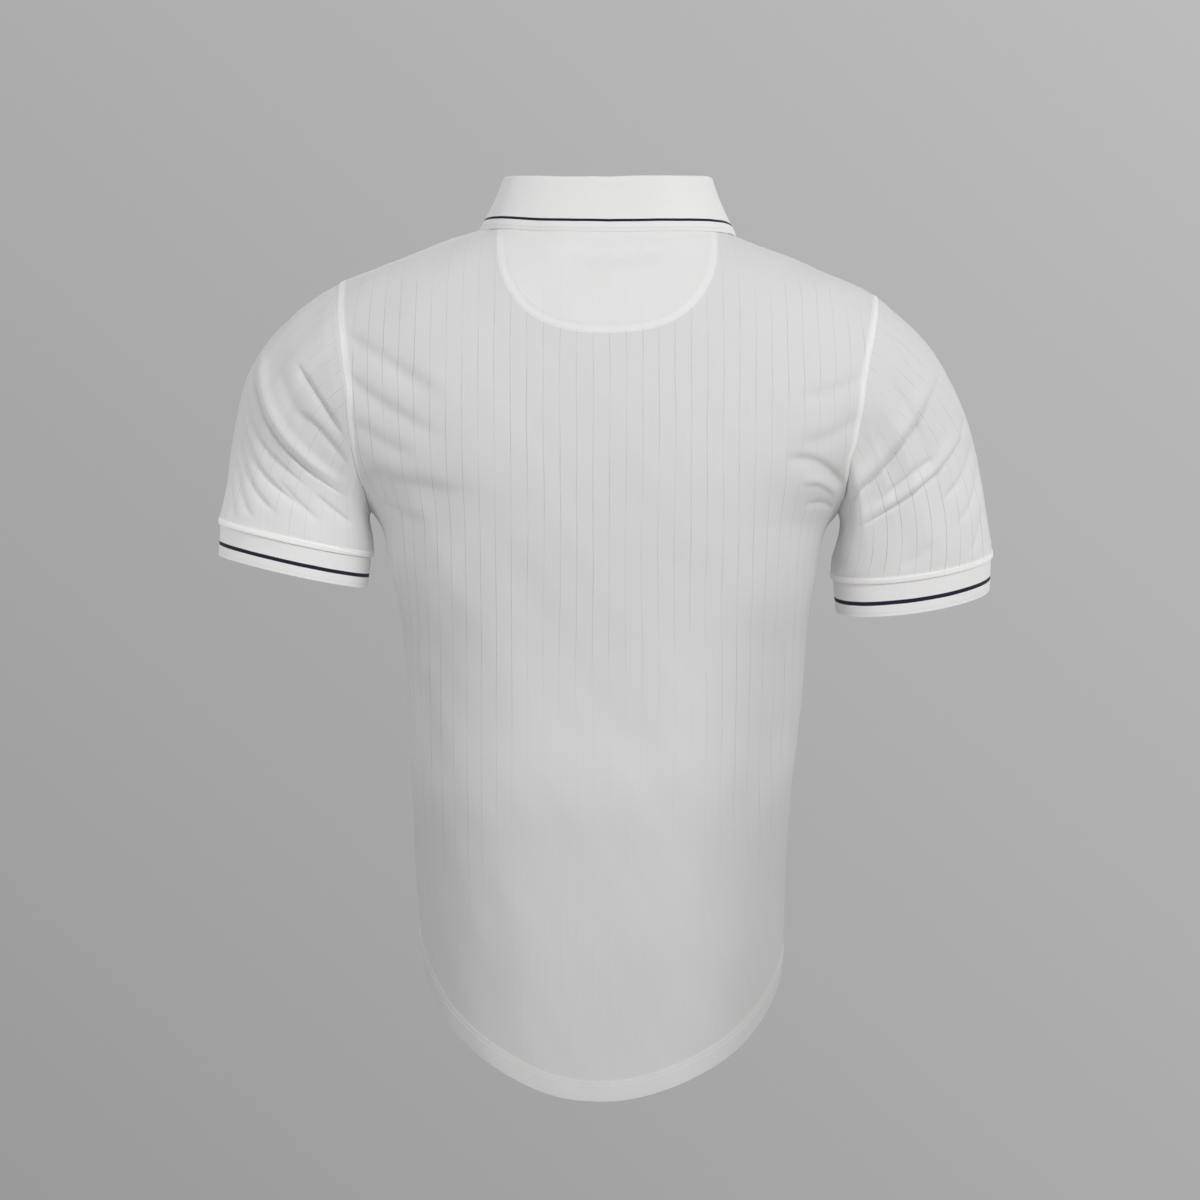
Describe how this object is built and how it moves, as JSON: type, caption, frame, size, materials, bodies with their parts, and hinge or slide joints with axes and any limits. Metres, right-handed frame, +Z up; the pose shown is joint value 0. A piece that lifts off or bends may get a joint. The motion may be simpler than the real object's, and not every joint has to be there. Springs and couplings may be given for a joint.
{
  "type": "polo shirt",
  "caption": "Slim short-sleeved polo shirt in its worn, hollow form, with folded knit collar, knit cuffs, buttoned placket and a long curved tail.",
  "frame": {"origin": "middle of the neck opening, level with the tops of the shoulder seams, where the wearer's shoulders carry the shirt", "axes": "+Z up, the wearer faces -Y, +X towards the wearer's left"},
  "size_m": [0.6373, 0.2369, 0.7409],
  "materials": {
    "shell": "matte fine jersey with a soft sheen",
    "rib": "matte flat knit",
    "facing": "matte fine jersey",
    "button": "satin"
  },
  "bodies": {
    "root": {"back": "shell", "front": "shell", "sleeve_left": "shell", "sleeve_right": "shell", "cuff_left": "rib", "cuff_right": "rib", "collar": "rib", "neck_facing": "facing", "placket_over": "shell", "placket_under": "shell", "button_1": "button", "button_2": "button", "button_3": "button"}
  },
  "joints": []
}
